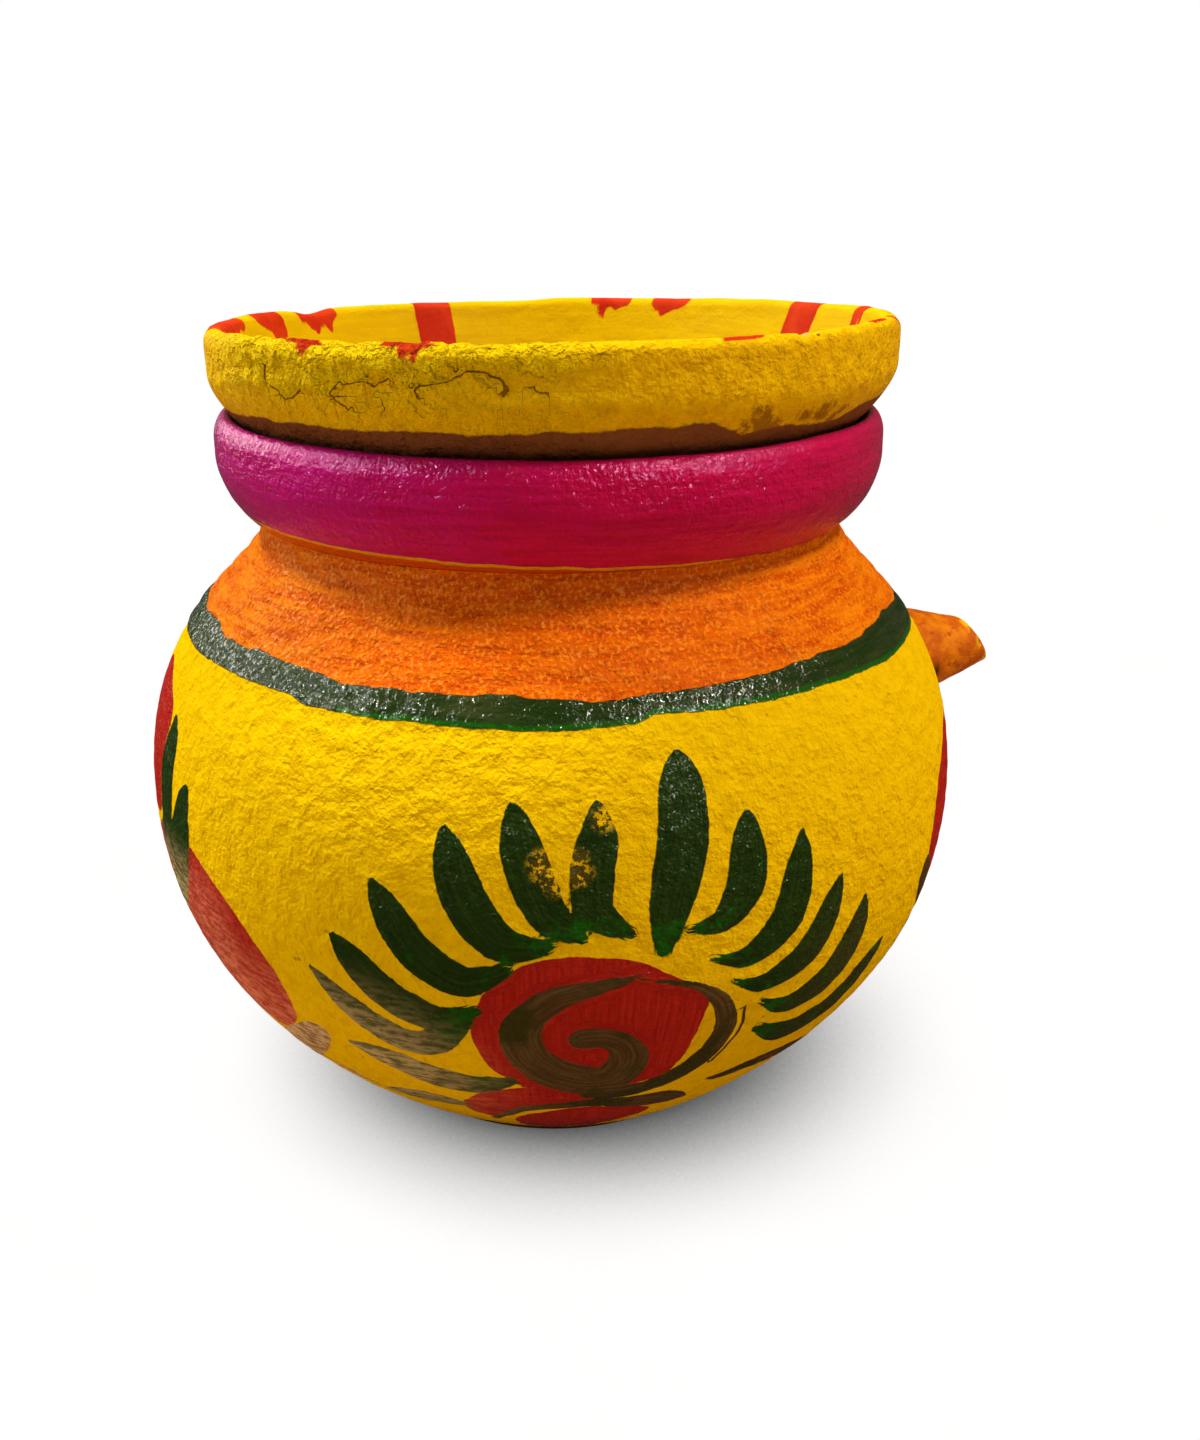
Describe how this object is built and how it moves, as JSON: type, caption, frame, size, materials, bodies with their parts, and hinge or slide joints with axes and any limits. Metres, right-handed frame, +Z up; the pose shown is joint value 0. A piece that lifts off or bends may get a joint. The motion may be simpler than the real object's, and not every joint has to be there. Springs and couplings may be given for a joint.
{
  "type": "clay lota with lid",
  "caption": "Round-bellied painted clay water pot with a heavy rim collar, a short side spout and a loose saucer-shaped lid that lifts off.",
  "frame": {"origin": "centre of the flat base, on the surface the pot stands on", "axes": "+Z up the pot's axis, +X along the spout"},
  "size_m": [0.1352, 0.12, 0.1171],
  "materials": {
    "pot_body": "low-fired clay with poster-paint yellow ground, orange shoulder, green band and brushed floral strokes",
    "rim_collar": "low-fired clay, magenta paint with a satin sheen",
    "spout": "low-fired clay, orange paint",
    "spout_luting": "smeared clay, painted over in orange and green",
    "lid": "low-fired clay, crackled yellow paint with red rim strokes, bare clay underneath"
  },
  "bodies": {
    "pot": {"pot_body": "pot_body", "rim_collar": "rim_collar", "spout": "spout", "spout_luting": "spout_luting"},
    "lid": {"lid": "lid"}
  },
  "joints": [
    {"name": "lid_lift", "type": "slide", "parent": "pot", "child": "lid", "axis": [0, 0, 1], "range_m": [0, 0.1]}
  ]
}
